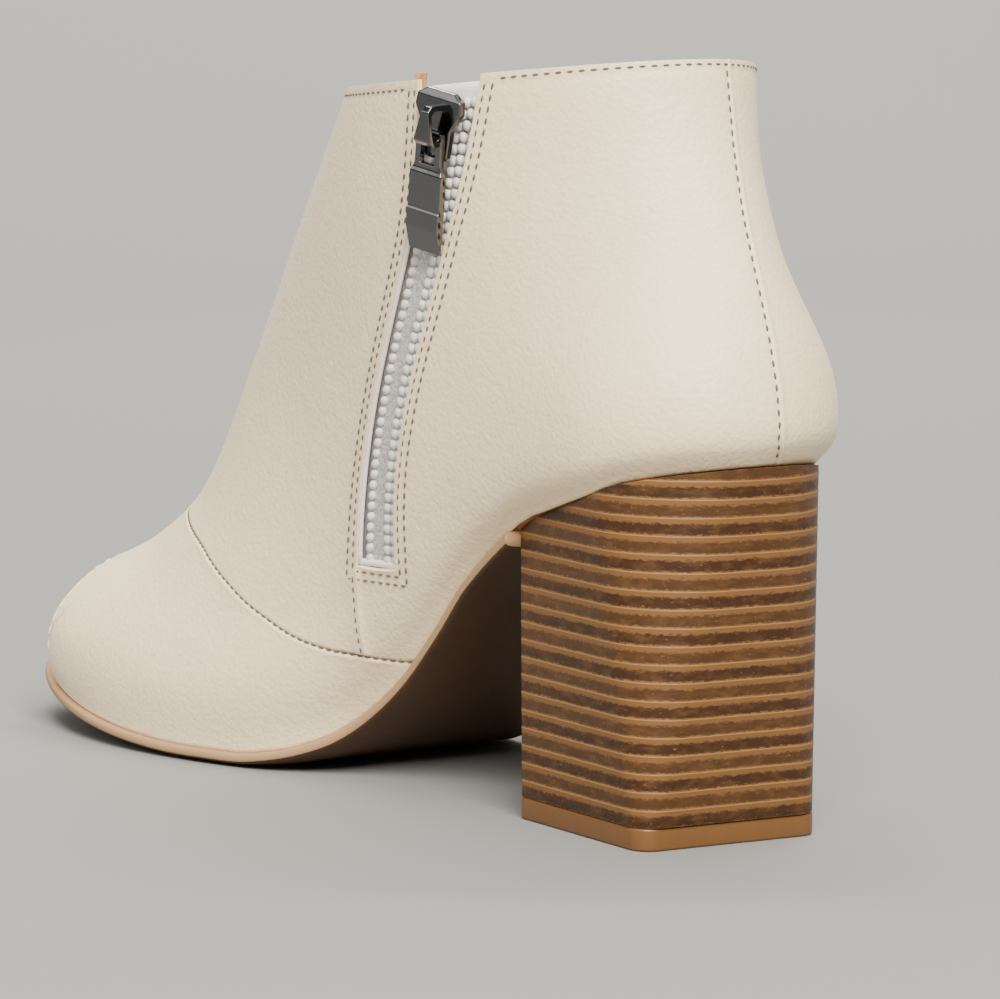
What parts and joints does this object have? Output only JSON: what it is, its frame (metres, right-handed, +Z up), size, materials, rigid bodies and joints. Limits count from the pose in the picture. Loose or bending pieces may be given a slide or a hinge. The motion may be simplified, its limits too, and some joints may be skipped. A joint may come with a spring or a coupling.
{
  "type": "peep toe ankle bootie",
  "caption": "Ankle bootie with an open toe, an inner side zip and a stacked block heel, hollow inside and open at the collar.",
  "frame": {"origin": "middle of the heel's flat rest face, on the floor", "axes": "toe along -Y, back of the heel along +Y, inner side with its zip along +X, +Z up"},
  "size_m": [0.0791, 0.2261, 0.1487],
  "materials": {
    "upper_leather": "smooth cream faux leather with a fine grain and a soft sheen",
    "lining": "orange tan synthetic lining, matt",
    "sole": "brown moulded sole with a tan satin edge",
    "stacked_heel": "stacked look, thin pale lines between brown lifts, satin",
    "top_piece": "camel top piece, satin",
    "zip_tape": "woven off-white zip tape",
    "zip_coil": "pale grey nylon coil",
    "zip_metal": "bright nickel plate"
  },
  "bodies": {
    "shoe": {"upper": "upper_leather", "insole": "lining", "outsole": "sole", "heel": "stacked_heel", "heel_tip": "top_piece", "zip_tape": "zip_tape", "zip_teeth": "zip_coil", "zip_slider": "zip_metal"},
    "pull": {"zip_pull": "zip_metal"}
  },
  "joints": [
    {"name": "pull_hinge", "type": "hinge", "parent": "shoe", "child": "pull", "pos_m": [0.0356, -0.03181, 0.13318], "axis": [0.1703, -0.9659, 0.1952], "range_deg": [0, 150]}
  ]
}
